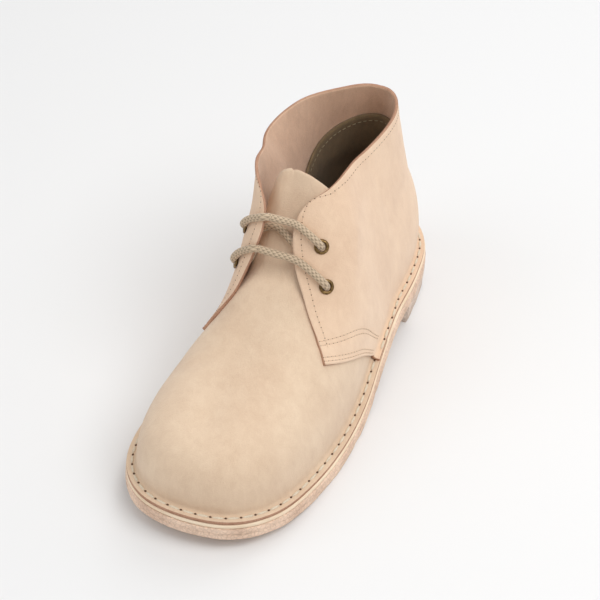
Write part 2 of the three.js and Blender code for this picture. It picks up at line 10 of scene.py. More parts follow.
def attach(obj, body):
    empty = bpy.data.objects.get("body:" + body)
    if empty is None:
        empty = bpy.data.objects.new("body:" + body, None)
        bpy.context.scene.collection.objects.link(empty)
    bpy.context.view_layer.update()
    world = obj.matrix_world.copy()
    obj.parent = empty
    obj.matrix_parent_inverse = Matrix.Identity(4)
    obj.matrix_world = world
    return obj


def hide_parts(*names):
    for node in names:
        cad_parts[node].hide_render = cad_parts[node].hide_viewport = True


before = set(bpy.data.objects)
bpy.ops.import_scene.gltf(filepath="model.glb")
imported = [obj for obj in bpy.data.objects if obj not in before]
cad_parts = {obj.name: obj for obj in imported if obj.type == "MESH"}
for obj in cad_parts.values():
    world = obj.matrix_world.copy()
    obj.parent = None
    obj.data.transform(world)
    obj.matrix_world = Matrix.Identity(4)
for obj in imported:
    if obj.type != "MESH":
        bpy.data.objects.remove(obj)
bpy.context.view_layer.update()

mm = 0.001

# the last that the upper is pulled over, in millimetres from the toe's tip
last = {
    "length": 272.0, "ballWidth": 94.0, "heelWidth": 63.5, "toeHeight": 38.0, "soleMargin": 8.5,
    "shaftHeight": 126.0, "shaftOuter": 20.0, "shaftInner": 27.0, "shaftFull": 1.35, "shaftBack": 0.945,
    "shaftEase": 1.2, "backLean": 0.2, "waistFrom": 0.45, "waistTo": 0.65, "seat": 12.1, "heelLift": 13.9,
    "archStart": 0.35, "archEnd": 0.735, "toeSpring": 7.0, "springStart": 0.257, "heelBulge": 4.0,
    "crownRounding": 0.016, "roundedFrom": 0.435, "roundedTo": 0.5, "blendFrom": 0.93,
    "swellFrom": 0.55, "swellTop": 0.42, "dipFrom": 0.35, "dipShare": 0.5,
}
poleKeep = (0.01, 0.985)  # normals are taken this far from the bottom edge and from the crown
bottomRows = {
    "along": [0.0, 0.018, 0.081, 0.176, 0.294, 0.423, 0.551, 0.68, 0.801, 0.908, 0.974, 1.0],
    "outer": [-0.096, 0.154, 0.324, 0.41, 0.457, 0.452, 0.491, 0.559, 0.543, 0.465, 0.26, 0.0],
    "inner": [-0.096, -0.33, -0.5, -0.564, -0.537, -0.441, -0.421, -0.457, -0.457, -0.425, -0.244, 0.0],
}
ridgeRows = {
    "along": [0.11, 0.129, 0.176, 0.243, 0.338, 0.441, 0.61],
    "side": [-0.085, -0.096, -0.106, -0.117, -0.117, -0.117, -0.138],
    "rise": [0.0, 0.016, 0.05, 0.087, 0.15, 0.3, 0.725],
    "full": [2.55, 2.55, 2.55, 2.5, 2.4, 2.15, 1.8],
}
throatTop = 6 / 11
rowCount = 11


def mix(a, b, share):
    return a + (b - a) * share


def smooth(x):
    x = np.clip(x, 0, 1)
    return x * x * (3 - 2 * x)


def ramp(x, low, high):  # 0 up to low, 1 from high on, eased between
    return smooth((x - low) / (high - low))


def spline(p0, p1, p2, p3, u):
    return 0.5 * (2 * p1 + (p2 - p0) * u + (2 * p0 - 5 * p1 + 4 * p2 - p3) * u ** 2
                  + (3 * p1 - p0 - 3 * p2 + p3) * u ** 3)


def column(values, place):
    ends = np.array([2 * values[0] - values[1], *values, 2 * values[-1] - values[-2]], float)
    q = np.clip(place, 0, len(values) - 1)
    i = np.minimum(np.floor(q).astype(int), len(values) - 2)
    return spline(ends[i], ends[i + 1], ends[i + 2], ends[i + 3], q - i)


def wrap(place):
    return np.mod(np.asarray(place, float) + 1, 2) - 1


def unit(v):
    return v / np.linalg.norm(v, axis=-1, keepdims=True)


def localWidth(along):
    return mix(last["ballWidth"], last["heelWidth"], ramp(along, last["waistFrom"], last["waistTo"]))


def bottomLoop():
    along = np.array(bottomRows["along"])
    width = localWidth(along)
    side = np.concatenate([bottomRows["outer"] * width, (bottomRows["inner"] * width)[-2:0:-1]])
    return side, np.concatenate([along, along[-2:0:-1]]) * last["length"]


loopSide, loopAlong = bottomLoop()


def bottomEdge(place):
    count = len(loopSide)
    row = np.mod(np.asarray(place, float) * rowCount, count)
    i = np.floor(row).astype(int)
    return np.stack([spline(*[values[(i + k) % count] for k in (-1, 0, 1, 2)], row - i)
                     for values in (loopSide, loopAlong)], -1)


def outward(place):
    tangent = unit(bottomEdge(place + 1e-3) - bottomEdge(place - 1e-3))
    return np.stack([tangent[..., 1], -tangent[..., 0]], -1)


def seatHeight(distance):
    along = distance / last["length"]
    arch = ramp(along, last["archStart"], last["archEnd"])
    spring = np.maximum((last["springStart"] - along) / last["springStart"], 0) ** 2
    return last["seat"] + last["heelLift"] * arch + last["toeSpring"] * spring


def crownPath(place):
    place = wrap(place)
    away = np.abs(place)
    row = np.minimum(away, throatTop) * rowCount
    along = column(ridgeRows["along"], row) * last["length"]
    side = column(ridgeRows["side"], row) * last["ballWidth"]
    height = seatHeight(along) + last["toeHeight"] + column(ridgeRows["rise"], row) * last["shaftHeight"]
    turn = np.clip((away - throatTop) / (1 - throatTop), 0, 1)
    angle = math.pi * turn ** last["shaftEase"]
    back = last["shaftBack"] * last["length"]
    half = np.where(place > 0, last["shaftOuter"], -last["shaftInner"])
    lean = np.where(away <= throatTop, 1, mix(last["backLean"], 1, (1 + np.cos(angle)) / 2))
    return np.stack([half * np.sin(angle) + side * lean, mix(along, back, (1 - np.cos(angle)) / 2),
                     mix(height, seatHeight(back) + last["shaftHeight"], turn)], -1)


def crown(place):  # the path with its corner at the throat's top rounded off
    step = last["crownRounding"] * ramp(np.abs(wrap(place)), last["roundedFrom"], last["roundedTo"])
    weights = (1, 2, 3, 2, 1)
    return sum(weight / sum(weights) * crownPath(place + (k - 2) * step) for k, weight in enumerate(weights))


def fullness(place):
    away = np.abs(wrap(place))
    ridgeFull = column(ridgeRows["full"], np.minimum(away, throatTop) * rowCount)
    return mix(ridgeFull, last["shaftFull"], np.clip(3 * (away - throatTop) / (1 - throatTop), 0, 1))


def lastPoint(place, up):
    place, up = np.broadcast_arrays(np.asarray(place, float), np.asarray(up, float))
    away = np.abs(wrap(place))
    edge, top, full = bottomEdge(place), crown(place), fullness(place)
    base = seatHeight(edge[..., 1])
    angle = np.clip(up, 0, 1) * math.pi / 2
    out = np.clip(np.cos(angle), 0, 1) ** (2 / full)
    rise = np.clip(np.sin(angle), 0, 1) ** (2 / full)
    heelBulge = np.sin(math.pi * np.clip(rise / last["swellTop"], 0, 1))
    ankleDip = np.sin(math.pi * np.clip((rise - last["dipFrom"]) / (1 - last["dipFrom"]), 0, 1))
    backShare = np.clip((away - last["swellFrom"]) / (1 - last["swellFrom"]), 0, 1)
    swell = last["heelBulge"] * backShare * (heelBulge - last["dipShare"] * ankleDip)
    flat = mix(top[..., :2], edge, out[..., None]) + outward(place) * swell[..., None]
    return np.concatenate([flat, (base + (top[..., 2] - base) * rise)[..., None]], -1)


def sideNormal(place, up, step=2e-3):
    up = np.clip(up, *poleKeep)
    return unit(np.cross(lastPoint(place + step, up) - lastPoint(place - step, up),
                         lastPoint(place, up + step) - lastPoint(place, up - step)))


def lastNormal(place, up):
    place, up = np.broadcast_arrays(np.asarray(place, float), np.asarray(up, float))
    near = np.clip((up - last["blendFrom"]) / (1 - last["blendFrom"]), 0, 1)
    near = near * (np.abs(wrap(place)) <= throatTop)
    return unit(mix(sideNormal(place, up), sideNormal(-place, up), near[..., None] / 2))


def offLast(place, up, distance):
    return lastPoint(place, up) + lastNormal(place, up) * np.asarray(distance)[..., None]


def besideEdge(place, out, lift):
    flat = bottomEdge(place) + outward(place) * np.asarray(out)[..., None]
    return np.concatenate([flat, (seatHeight(flat[..., 1]) + lift)[..., None]], -1)


def upAtLift(place, lift):  # how far up the last a height over the seat lies
    tall = crown(place)[..., 2] - seatHeight(bottomEdge(place)[..., 1])
    return np.arcsin(np.clip(lift / tall, 0, 1) ** (fullness(place) / 2)) * 2 / math.pi


rimPlaces = np.linspace(-1, 1, 721)
rim = besideEdge(rimPlaces, np.full_like(rimPlaces, last["soleMargin"]), 0)
frameMiddle = np.append((rim[:, :2].min(0) + rim[:, :2].max(0)) / 2, 0.0)


def toFrame(points):  # millimetres from the toe's tip to metres in the shared frame
    return (points - frameMiddle) * mm


latticeSide = 32
lattice = np.random.default_rng(11).uniform(-1, 1, (latticeSide, latticeSide, latticeSide))


def bumpy(points, size, seed):  # smooth noise between -1 and 1, the same each run
    cell = points / size + seed
    corner = np.floor(cell).astype(int)
    share = smooth(cell - corner)
    total = 0
    for step in np.ndindex(2, 2, 2):
        weight = np.prod(np.where(step, share, 1 - share), axis=-1)
        x, y, z = np.moveaxis((corner + step) % latticeSide, -1, 0)
        total = total + weight * lattice[x, y, z]
    return total


# meshes

weldDistance = 1e-5


def gridMesh(bm, columns, rows, shape):  # a grid laid on to a shape(across, along) in millimetres
    bmesh.ops.create_grid(bm, x_segments=columns, y_segments=rows, size=0.5)
    flat = np.array([v.co[:] for v in bm.verts])
    across, along = flat[:, 0] + 0.5, flat[:, 1] + 0.5
    uv = bm.loops.layers.uv.new("surface")
    for face in bm.faces:
        face.smooth = True
        for loop in face.loops:
            loop[uv].uv = (loop.vert.co.x + 0.5, loop.vert.co.y + 0.5)
    points = toFrame(shape(across, along))
    for v, p in zip(bm.verts, points):
        v.co = p
    return across, along


def asPiece(bm, name, materials, nodes=()):
    mesh = bpy.data.meshes.new(name)
    bm.to_mesh(mesh)
    bm.free()
    piece = bpy.data.objects.new(name, mesh)
    bpy.context.scene.collection.objects.link(piece)
    for material in materials:
        mesh.materials.append(material)
    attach(piece, "root")
    if nodes:
        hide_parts(*nodes)
    print("made", name, len(mesh.polygons))
    return piece


def thicken(piece, thickness, innerSlot=0, rimSlot=0):
    wall = piece.modifiers.new("wall", "SOLIDIFY")
    wall.thickness = thickness * mm
    wall.offset = -1
    wall.material_offset = innerSlot
    wall.material_offset_rim = rimSlot


def turnTowards(bm, centreOf):  # faces look away from a point found for each face
    bm.normal_update()
    wrong = 0
    for face in list(bm.faces)[::7]:
        centre = face.calc_center_median()
        wrong += 1 if face.normal.dot(centre - centreOf(centre)) < 0 else -1
    if wrong > 0:
        bmesh.ops.reverse_faces(bm, faces=list(bm.faces))


def closeMesh(bm, fill=False):  # seams and poles merged, faces turned outwards
    bmesh.ops.remove_doubles(bm, verts=bm.verts, dist=weldDistance)
    if fill:
        bmesh.ops.holes_fill(bm, edges=[e for e in bm.edges if e.is_boundary], sides=0)
    bmesh.ops.recalc_face_normals(bm, faces=bm.faces)


core = {"side": -0.004, "reach": 0.1, "height": 0.03, "rise": 0.25}  # in metres, a line inside the boot


def insideBoot(p):  # the core's point at the same distance along
    rise = core["rise"] * max(p.z - core["height"], 0)
    return Vector((core["side"], min(max(p.y, -core["reach"]), core["reach"]), core["height"] + rise))


# materials

def nodeMaker(tree):
    def make(kind, links=None, **settings):
        node = tree.nodes.new(kind)
        for key, value in settings.items():
            setattr(node, key, value)
        for key, value in (links or {}).items():
            if hasattr(value, "is_linked"):
                tree.links.new(value, node.inputs[key])
            else:
                node.inputs[key].default_value = value
        return node
    return make


def mixColour(make, factor, a, b, blend="MIX"):
    node = make("ShaderNodeMix", {0: factor, 6: a, 7: b}, data_type="RGBA", blend_type=blend)
    return node.outputs[2]


def noise(make, place, scale, detail, roughness=0.5, distortion=0.0):
    return make("ShaderNodeTexNoise", {"Vector": place, "Scale": scale, "Detail": detail,
                                       "Roughness": roughness, "Distortion": distortion}).outputs[0]


def stretch(make, value, fromLow, fromHigh, toLow=0.0, toHigh=1.0):
    return make("ShaderNodeMapRange", {"Value": value, 1: fromLow, 2: fromHigh, 3: toLow,
                                       4: toHigh}).outputs[0]


def scaleAdd(make, value, scale, added, clamp=False):
    return make("ShaderNodeMath", {0: value, 1: scale, 2: added}, operation="MULTIPLY_ADD",
                use_clamp=clamp).outputs[0]


def sRGB(*channels):  # all the colours here are light enough for the curve's upper part alone
    return tuple(((c / 255 + 0.055) / 1.055) ** 2.4 for c in channels) + (1.0,)


def napGroup():  # soft nap of split leather: blotches, brushed streaks and fibres
    group = bpy.data.node_groups.new("suedeNap", "ShaderNodeTree")
    for name, way, kind in (("Light", "INPUT", "Color"), ("Dark", "INPUT", "Color"),
                            ("Blotch", "INPUT", "Float"), ("Fibre", "INPUT", "Float"),
                            ("Colour", "OUTPUT", "Color"), ("Height", "OUTPUT", "Float")):
        group.interface.new_socket(name=name, in_out=way, socket_type="NodeSocket" + kind)
    make = nodeMaker(group)
    given = make("NodeGroupInput").outputs
    place = make("ShaderNodeTexCoord").outputs["Object"]
    brushedAlong = make("ShaderNodeMapping", {"Vector": place, "Scale": (1.0, 1.0, 0.45)}).outputs[0]
    blotch = stretch(make, noise(make, place, 26.0, 3.0, 0.55), 0.36, 0.66)
    brushed = stretch(make, noise(make, brushedAlong, 210.0, 4.0, 0.65, 0.6), 0.32, 0.7)
    fibre = stretch(make, noise(make, place, 1500.0, 3.0, 0.7), 0.3, 0.7)
    blotched = make("ShaderNodeMath", {0: blotch, 1: given["Blotch"]}, operation="MULTIPLY").outputs[0]
    dark = scaleAdd(make, fibre, given["Fibre"], scaleAdd(make, brushed, 0.32, blotched), clamp=True)
    colour = mixColour(make, dark, given["Light"], given["Dark"])
    make("NodeGroupOutput", {"Colour": colour, "Height": scaleAdd(make, brushed, 0.5, fibre)})
    return group


def newMaterial(name):
    material = bpy.data.materials.new(name)
    material.use_nodes = True
    material.node_tree.nodes.clear()
    make = nodeMaker(material.node_tree)
    shader = make("ShaderNodeBsdfPrincipled")
    make("ShaderNodeOutputMaterial", {"Surface": shader.outputs[0]})

    def finish(colour, roughness, **more):  # a linked socket, or a plain value on it
        settings = {"Base Color": colour, "Roughness": roughness}
        settings.update({key.replace("_", " "): value for key, value in more.items()})
        for key, value in settings.items():
            if hasattr(value, "is_linked"):
                material.node_tree.links.new(value, shader.inputs[key])
            else:
                shader.inputs[key].default_value = value
        return material

    return make, finish


def raised(make, height, strength, distance):
    return make("ShaderNodeBump", {"Height": height, "Strength": strength, "Distance": distance}).outputs[0]


nap = napGroup()


def suede(name, light, dark, blotch=0.45, fibre=0.3, bump=0.35, sheen=0.25):
    make, finish = newMaterial(name)
    grain = make("ShaderNodeGroup", node_tree=nap)
    for key, value in (("Light", light), ("Dark", dark), ("Blotch", blotch), ("Fibre", fibre)):
        grain.inputs[key].default_value = value
    return finish(grain.outputs["Colour"], 0.95, Specular_IOR_Level=0.15, Sheen_Weight=sheen,
                  Sheen_Roughness=0.6, Normal=raised(make, grain.outputs["Height"], bump, 0.0005))


def rubber(name, light, dark, scale, bump, grooveShade=0.0):
    make, finish = newMaterial(name)
    place = make("ShaderNodeTexCoord").outputs["Object"]
    cells = make("ShaderNodeTexVoronoi", {"Vector": place, "Scale": scale},
                 feature="DISTANCE_TO_EDGE").outputs[0]
    crinkle = stretch(make, cells, 0.0, 0.16)
    colour = mixColour(make, stretch(make, noise(make, place, 60.0, 4.0), 0.35, 0.65), light, dark)
    # painted shade: the colour is darkened along the crinkle's grooves, where the bump is lowest, by the
    # share given after the bump strength
    paintedGrooveShade = stretch(make, crinkle, 0.0, 1.0, 1.0 - grooveShade, 1.0)
    height = scaleAdd(make, noise(make, place, 900.0, 3.0), 0.4, crinkle)
    return finish(mixColour(make, 1.0, colour, paintedGrooveShade, "MULTIPLY"), 0.72, Specular_IOR_Level=0.3,
                  Normal=raised(make, height, bump, 0.0006))


def threadMaterial(name, light, dark):
    make, finish = newMaterial(name)
    twist = noise(make, make("ShaderNodeTexCoord").outputs["Object"], 1100.0, 2.0)
    return finish(mixColour(make, twist, light, dark), 0.8, Normal=raised(make, twist, 0.4, 0.0003))


def braidMaterial():
    make, finish = newMaterial("laceBraid")
    uv = make("ShaderNodeUVMap", uv_map="surface").outputs[0]
    strandShade = make("ShaderNodeAttribute", attribute_name="braid").outputs["Fac"]
    # painted shade in the braid's hollows and painted highlight on the strands' crowns, read from the
    # weave's relief, over the lace's own beige with a little random tone
    toneAndStrandShade = scaleAdd(make, noise(make, uv, 600.0, 2.0), 0.25, strandShade, clamp=True)
    return finish(mixColour(make, toneAndStrandShade, sRGB(96, 76, 58), sRGB(204, 182, 154)), 0.85, Sheen_Weight=0.2)


def brassMaterial():
    make, finish = newMaterial("agedBrass")
    patina = noise(make, make("ShaderNodeTexCoord").outputs["Object"], 700.0, 4.0)
    colour = mixColour(make, stretch(make, patina, 0.35, 0.65), sRGB(150, 122, 80), sRGB(92, 72, 46))
    return finish(colour, stretch(make, patina, 0.0, 1.0, 0.28, 0.5), Metallic=1.0)


def plainMaterial(name, colour, roughness):
    _, finish = newMaterial(name)
    return finish(colour, roughness)


colours = {
    "vamp": (sRGB(236, 212, 184), sRGB(214, 185, 157)),
    "quarter": (sRGB(242, 213, 184), sRGB(222, 189, 160)),
    "flesh": (sRGB(240, 202, 172), sRGB(208, 168, 138)),
    "cut": (sRGB(214, 172, 146), sRGB(172, 128, 104)),
    # the counter lining: its own olive tone, made darker with painted shade from where it sits inside the
    # collar
    "lining": (sRGB(146, 124, 94), sRGB(106, 90, 66)),
    "insole": (sRGB(120, 98, 74), sRGB(84, 68, 50)),
}
vampSuede = suede("vampSuede", *colours["vamp"])
quarterSuede = suede("quarterSuede", *colours["quarter"])
fleshSide = suede("fleshSide", *colours["flesh"], blotch=0.4, fibre=0.5, bump=0.6)
cutEdge = suede("cutEdge", *colours["cut"], blotch=0.4, fibre=0.5, bump=0.6, sheen=0.0)
counterLining = suede("counterLining", *colours["lining"], blotch=0.5, fibre=0.3, bump=0.3, sheen=0.1)
insoleLeather = suede("insoleLeather", *colours["insole"], blotch=0.4, fibre=0.2, bump=0.2, sheen=0.0)
midsoleRubber = rubber("midsoleRubber", sRGB(250, 230, 203), sRGB(240, 216, 187), 900.0, 0.12)
# the last number is the share of painted shade in the crinkle's grooves
outsoleRubber = rubber("outsoleRubber", sRGB(248, 218, 194), sRGB(226, 194, 170), 420.0, 0.5, 0.16)
heelRubber = rubber("heelRubber", sRGB(230, 210, 195), sRGB(206, 184, 168), 420.0, 0.45, 0.14)
weltThread = threadMaterial("weltThread", sRGB(236, 224, 204), sRGB(196, 180, 156))
seamThread = threadMaterial("seamThread", sRGB(232, 204, 176), sRGB(206, 174, 146))
liningThread = threadMaterial("liningThread", sRGB(168, 156, 128), sRGB(130, 118, 92))
# painted shade: each needle hole is a dark ball where the real hole is only an empty pit in shade
needleHole = plainMaterial("needleHole", sRGB(96, 70, 52), 1.0)
print("materials ready")

# upper

upper = {
    "vampWall": 1.8, "quarterWall": 1.9, "flange": 7.5, "bend": 2.2, "flangeShare": 0.1, "bendShare": 0.06,
    "throatStart": 0.435, "tongueSink": 4.2, "underlapFoot": 0.58, "lapFoot": 0.61, "lapSlope": 0.305,
    "lapFade": 0.07, "lapTurn": (0.35, 0.55), "lapPastThroat": 0.03,
}
wallFrom = upper["flangeShare"] + upper["bendShare"]
flap = {  # the inner flap, which leans out from low down to its own edge
    "spread": 13.0, "open": (0.42, 0.5), "close": (0.68, 0.92), "low": 0.35, "throatUp": 0.9,
    "toplineUp": 0.69, "turn": (0.5, 0.56), "lean": 1.7, "past": 1.2,
}
quarterRows = {
    "foot": [0.533, 0.552, 0.57, 0.586, 0.605, 0.622, 0.641, 0.665, 0.7, 0.75, 0.82, 0.91, 1.0],
    "along": [0.395, 0.427, 0.45, 0.468, 0.488, 0.507, 0.53, 0.563, 0.62, 0.7, 0.79, 0.9, 1.0],
    "up": [0.479, 0.671, 0.771, 0.85, 0.9, 0.875, 0.735, 0.675, 0.672, 0.69, 0.69, 0.67, 0.66],
}


def lapShare(place, up):
    edge = mix(upper["lapFoot"] - upper["lapSlope"] * up, throatTop + upper["lapPastThroat"],
               ramp(up, *upper["lapTurn"]))
    return 1 - smooth((np.abs(wrap(place)) - edge) / upper["lapFade"])


def spread(place, up):
    away = np.abs(wrap(place))
    opened = ramp(away, *flap["open"]) * (1 - ramp(away, *flap["close"]))
    edgeUp = mix(flap["throatUp"], flap["toplineUp"], ramp(away, *flap["turn"]))
    share = np.clip((up - flap["low"]) / (edgeUp - flap["low"]), 0, flap["past"])
    return np.where(wrap(place) > 0, 0, flap["spread"] * opened * share ** flap["lean"])


def quarterStand(place, up):
    return upper["vampWall"] * lapShare(place, up) + spread(place, up)


def onQuarter(place, up, distance):
    return offLast(place, up, quarterStand(place, up) + distance)


def quarterNormal(place, up, step=5e-3):
    return unit(np.cross(onQuarter(place + step, up, 0) - onQuarter(place - step, up, 0),
                         onQuarter(place, up + step, 0) - onQuarter(place, up - step, 0)))


def skirt(place, level, outerFace, flange):  # the turned-out edge and the bend above it
    flat, bend = upper["flangeShare"], upper["bendShare"]
    angle = np.clip((level - flat) / bend, 0, 1) * math.pi / 2
    out = np.where(level < flat, mix(flange, outerFace + upper["bend"], level / flat),
                   outerFace + upper["bend"] * (1 - np.sin(angle)))
    lift = outerFace + upper["bend"] * (1 - np.cos(angle))
    return besideEdge(place, out, lift)


def bowed(share, bow):  # the quarter's lower edge bows forward between the welt and its corner
    return share + bow * np.sin(math.pi * np.clip(share, 0, 1) ** quarters["bowSkew"])


def onSheet(foot, along, top, level, outerFace, flange, bow):  # from the welt's edge up to the cut edge
    share = np.clip((level - wallFrom) / (1 - wallFrom), 0, 1)
    start = upAtLift(foot, outerFace(foot, 0 * foot) + upper["bend"])
    up = mix(start, top, share)
    place = mix(foot, along, bowed(np.clip((up - start) / np.maximum(top - start, 1e-6), 0, 1), bow))
    low = level < wallFrom
    turnedOut = skirt(foot, level, outerFace(foot, 0 * foot), flange)
    wall = offLast(place, up, outerFace(place, up))
    return np.where(low[..., None], turnedOut, wall), place, up, low


metric = (300.0, 92.0)  # millimetres for one unit round the last and one up it
creases = [  # on both sides: place round the last, how far up, then sizes in millimetres
    {"place": 0.30, "up": 0.80, "long": 26.58, "wide": 5.0, "deep": 0.7},
    {"place": 0.345, "up": 0.74, "long": 22.49, "wide": 4.5, "deep": 0.5},
]


def undulation(points, waves):  # each wave is its height and width in millimetres and a seed
    return sum(height * bumpy(points, width, seed) for height, width, seed in waves)


def vampRelief(place, up, points):
    relief = undulation(points, vamp["waves"])
    for crease in creases:
        for side in (1, -1):
            across = (place - side * crease["place"]) * metric[0] / crease["wide"]
            along = (up - crease["up"]) * metric[1] / crease["long"]
            relief -= crease["deep"] * np.exp(-across ** 2 - along ** 2)
    return relief


vamp = {
    "reach": 0.575, "columns": 330, "rows": 90, "tongueSide": 0.6, "tongueFrom": 0.44, "tip": 0.527,
    "tipRise": 0.14, "tipRound": 0.6, "roundPower": 1.5, "roundFrom": 0.33, "tongueRise": (0.5, 0.58),
    "sinkFrom": (0.437, 0.472), "sinkBy": (0.5, 0.6), "tipFrom": (0.495, 0.53), "tipSink": 1.5,
    "waves": ((0.45, 34.0, 3.0), (0.18, 11.0, 9.0)), "plainBelow": (0.06, 0.26), "seam": 0.15,
    "softFrom": 0.84, "softPasses": 25, "rimPasses": 12,
}


def tonguePlace(place, up):  # the last columns end on the tongue's rounded top
    away = np.abs(place)
    low = 1 - up
    rounded = np.maximum(low - vamp["roundFrom"], 0) ** vamp["roundPower"]
    tip = vamp["tip"] + vamp["tipRise"] * low ** 2 - vamp["tipRound"] * rounded
    start = vamp["tongueFrom"]
    share = mix(1, (tip - start) / (vamp["reach"] - start), ramp(up, *vamp["tongueRise"]))
    return np.where(away > start, np.sign(place) * mix(start, away, share), place)


def vampFace(place, up):
    away = np.abs(place)
    depth = mix(upper["tongueSink"], vamp["tipSink"], ramp(away, *vamp["tipFrom"]))
    return upper["vampWall"] - depth * ramp(away, *vamp["sinkFrom"]) * ramp(up, *vamp["sinkBy"])


toePatch = {  # in metres, at the foremost point of the ridge
    "centre": (-0.0035, -0.1112, 0.0541), "inner": 0.0065, "outer": 0.014, "blend": 0.003, "rings": 5,
    "degree": 3,
}


def fairToe(bm):  # the pinched start of the ridge is cut out and filled with a fitted surface
    centre = Vector(toePatch["centre"])
    away = {v: (v.co - centre).length for v in bm.verts}
    around = [v for v in bm.verts if toePatch["inner"] < away[v] < toePatch["outer"]]

    def terms(points):
        x, y = ((np.array(points) - np.array(centre))[:, :2] / toePatch["outer"]).T
        powers = range(toePatch["degree"] + 1)
        return np.stack([x ** i * y ** j for i in powers for j in powers if i + j <= toePatch["degree"]], -1)

    fit = np.linalg.lstsq(terms([v.co for v in around]), np.array([v.co.z for v in around]), rcond=None)[0]
    bmesh.ops.delete(bm, geom=[v for v in bm.verts if away[v] <= toePatch["inner"]], context="VERTS")
    hole = [e for e in bm.edges if e.is_boundary and (e.verts[0].co - centre).length < toePatch["outer"]]
    filled = bmesh.ops.holes_fill(bm, edges=hole, sides=0)["faces"]
    poked = bmesh.ops.poke(bm, faces=filled)
    spokes = [e for v in poked["verts"] for e in v.link_edges]
    bmesh.ops.subdivide_edges(bm, edges=spokes, cuts=toePatch["rings"])
    near = [v for v in bm.verts if (v.co - centre).length < toePatch["inner"] + toePatch["blend"]]
    for v, z in zip(near, terms([v.co for v in near]) @ fit):
        share = smooth(((v.co - centre).length - toePatch["inner"]) / toePatch["blend"])
        v.co.z = mix(z, v.co.z, float(share))


def evenRidge(bm):  # the ridge's narrow faces relax, and the tongue's rounded top follows them
    mark = bm.verts.layers.float["up"]
    ridge = [v for v in bm.verts if v[mark] > vamp["softFrom"] and not v.is_boundary]
    top = [v for v in bm.verts if v[mark] > vamp["softFrom"] and v.is_boundary]
    beside = [next((e.other_vert(v) for e in v.link_edges if not e.is_boundary), v) for v in top]
    before = [w.co.copy() for w in beside]
    for _ in range(vamp["softPasses"]):
        bmesh.ops.smooth_vert(bm, verts=ridge, factor=0.5, use_axis_x=True, use_axis_y=True, use_axis_z=True)
    for v, w, old in zip(top, beside, before):
        v.co += w.co - old
    for _ in range(vamp["rimPasses"]):
        pairs = [[e.other_vert(v).co for e in v.link_edges if e.is_boundary] for v in top]
        between = [sum(pair, Vector()) / len(pair) if pair else v.co.copy() for v, pair in zip(top, pairs)]
        for v, co in zip(top, between):
            v.co = mix(v.co, co, 0.5)


def makeVamp():  # vamp and tongue in one
    def shape(across, level):
        foot = (across * 2 - 1) * vamp["reach"]
        start = upAtLift(foot, upper["vampWall"] + upper["bend"])
        up = mix(start, 1, np.clip((level - wallFrom) / (1 - wallFrom), 0, 1))
        place = tonguePlace(foot, up)
        wall = offLast(place, up, vampFace(place, up))
        low = level < wallFrom
        turnedOut = skirt(foot, level, np.full_like(up, upper["vampWall"]), upper["flange"])
        points = np.where(low[:, None], turnedOut, wall)
        relief = np.where(low, 0, vampRelief(place, up, points) * ramp(up, *vamp["plainBelow"]))
        return points + lastNormal(place, up) * relief[:, None]

    bm = bmesh.new()
    across, level = gridMesh(bm, vamp["columns"], vamp["rows"], shape)
    away = np.abs(across * 2 - 1) * vamp["reach"]
    up = np.clip((level - wallFrom) / (1 - wallFrom), 0, 1)
    mark = bm.verts.layers.float.new("up")
    for v, value in zip(bm.verts, up):
        v[mark] = value
    hidden = (upper["underlapFoot"] - away) / upper["lapSlope"]
    cut = (away > upper["throatStart"]) & (up > hidden) & (up < vamp["tongueSide"])
    bm.verts.ensure_lookup_table()
    bmesh.ops.delete(bm, geom=[bm.verts[i] for i in np.flatnonzero(cut)], context="VERTS")
    bmesh.ops.remove_doubles(bm, verts=bm.verts, dist=vamp["seam"] * mm)
    bmesh.ops.dissolve_degenerate(bm, edges=bm.edges, dist=weldDistance)
    fairToe(bm)
    evenRidge(bm)
    turnTowards(bm, insideBoot)
    piece = asPiece(bm, "vamp", [vampSuede, fleshSide, cutEdge], ("tongue",))
    thicken(piece, upper["vampWall"], 1, 2)
    return piece


quarters = {
    "columns": 420, "rows": 78, "flange": 7.3, "bow": 0.075, "bowSkew": 0.7, "bowRows": 6, "evenPasses": 110,
    "evenFrom": (3.6, 4.8), "evenTo": (7.5, 9.0), "waves": ((0.55, 38.0, 21.0), (0.2, 12.0, 2.0)),
    "plainBelow": (0.04, 0.16), "troughDeep": 0.3, "troughWide": 0.9,
}
quarterEnd = len(quarterRows["foot"]) - 1  # the row at the heel's back, where the two quarters meet
seamLines = [  # rows of stitches across a quarter's foot, from the throat edge to the welt
    {"from": (0.3985, 0.494), "to": (0.531, 0.055)},
    {"from": (0.4015, 0.511), "to": (0.536, 0.055)},
    {"from": (0.4115, 0.560), "to": (0.560, 0.055)},
    {"from": (0.4150, 0.578), "to": (0.565, 0.055)},
]


def seamPath(line, count):
    share = np.linspace(0, 1, count)
    place = mix(line["to"][0], line["from"][0], bowed(share, quarters["bow"]))
    return place, mix(line["to"][1], line["from"][1], share)


def seamTrough(place, up):  # how deep the stitches draw the suede in
    away = np.abs(wrap(place))
    trough = np.zeros_like(away)
    for line in seamLines:
        gap = np.full_like(away, np.inf)
        for linePlace, lineUp in zip(*seamPath(line, 60)):
            gap = np.minimum(gap, np.hypot((away - linePlace) * metric[0], (up - lineUp) * metric[1]))
        trough += quarters["troughDeep"] * np.exp(-(gap / quarters["troughWide"]) ** 2)
    return trough


def evened(points, row):  # the creases beside the throat's top averaged out along the rows
    grid = points.reshape(quarters["rows"] + 1, quarters["columns"] + 1, 3)
    for _ in range(quarters["evenPasses"]):
        inner = (grid[:, :-2] + 2 * grid[:, 1:-1] + grid[:, 2:]) / 4
        grid = np.concatenate([grid[:, :1], inner, grid[:, -1:]], 1)
    share = ramp(row, *quarters["evenFrom"]) * (1 - ramp(row, *quarters["evenTo"]))
    return mix(points, grid.reshape(-1, 3), share[:, None])


